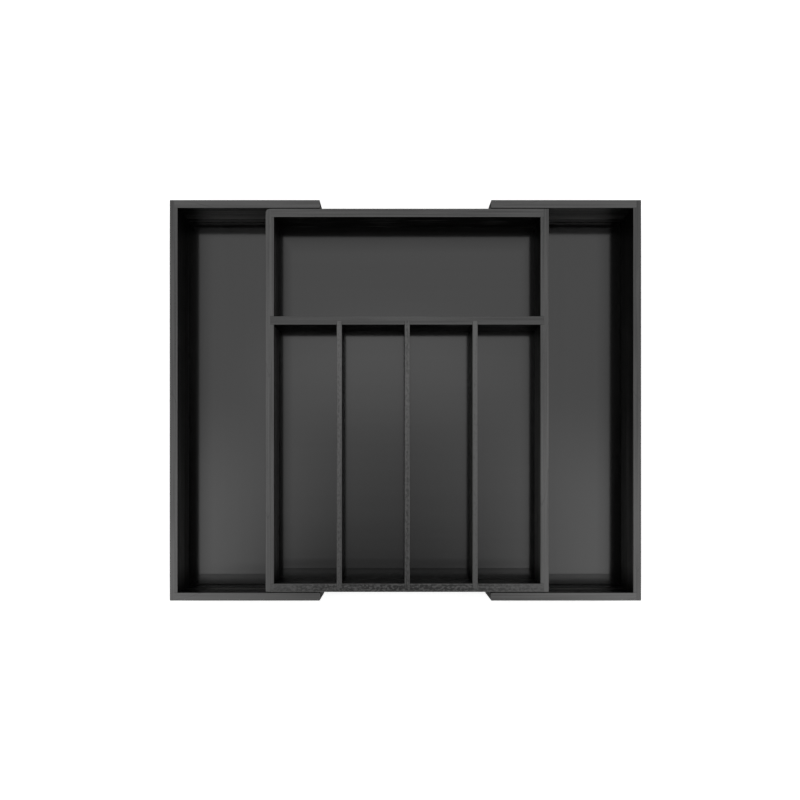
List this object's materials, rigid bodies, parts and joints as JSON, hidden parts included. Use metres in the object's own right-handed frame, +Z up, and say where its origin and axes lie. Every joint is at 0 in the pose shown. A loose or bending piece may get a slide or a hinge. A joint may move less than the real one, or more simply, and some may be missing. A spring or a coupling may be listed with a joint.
{
  "type": "expandable cutlery tray",
  "caption": "Low black bamboo drawer tray with a bay across the back, narrow slots in front and an extension tray that slides out at each side.",
  "frame": {"origin": "on the table under the middle of the tray, with both extensions part way out as pictured", "axes": "+X to the right along the slide, +Y to the back bay, +Z up"},
  "size_m": [0.506, 0.43, 0.06],
  "materials": {
    "stained_bamboo": "black stained bamboo, satin",
    "lacquered_panel": "black lacquered board, semi-gloss"
  },
  "bodies": {
    "main_tray": {"main_left_wall": "stained_bamboo", "main_right_wall": "stained_bamboo", "main_front_wall": "stained_bamboo", "main_back_wall": "stained_bamboo", "main_floor_panel": "lacquered_panel", "cross_divider": "stained_bamboo", "slot_divider_left": "stained_bamboo", "slot_divider_middle": "stained_bamboo", "slot_divider_right": "stained_bamboo", "front_guide_rail": "stained_bamboo", "back_guide_rail": "stained_bamboo"},
    "left_extension": {"left_side_wall": "stained_bamboo", "left_front_wall": "stained_bamboo", "left_back_wall": "stained_bamboo", "left_floor_panel": "lacquered_panel", "left_stop_batten": "stained_bamboo"},
    "right_extension": {"right_side_wall": "stained_bamboo", "right_front_wall": "stained_bamboo", "right_back_wall": "stained_bamboo", "right_floor_panel": "lacquered_panel", "right_stop_batten": "stained_bamboo"}
  },
  "joints": [
    {"name": "left_slide", "type": "slide", "parent": "main_tray", "child": "left_extension", "axis": [1, 0, 0], "range_m": [-0.0407, 0.0935]},
    {"name": "right_slide", "type": "slide", "parent": "main_tray", "child": "right_extension", "axis": [-1, 0, 0], "range_m": [-0.0445, 0.0897]}
  ]
}
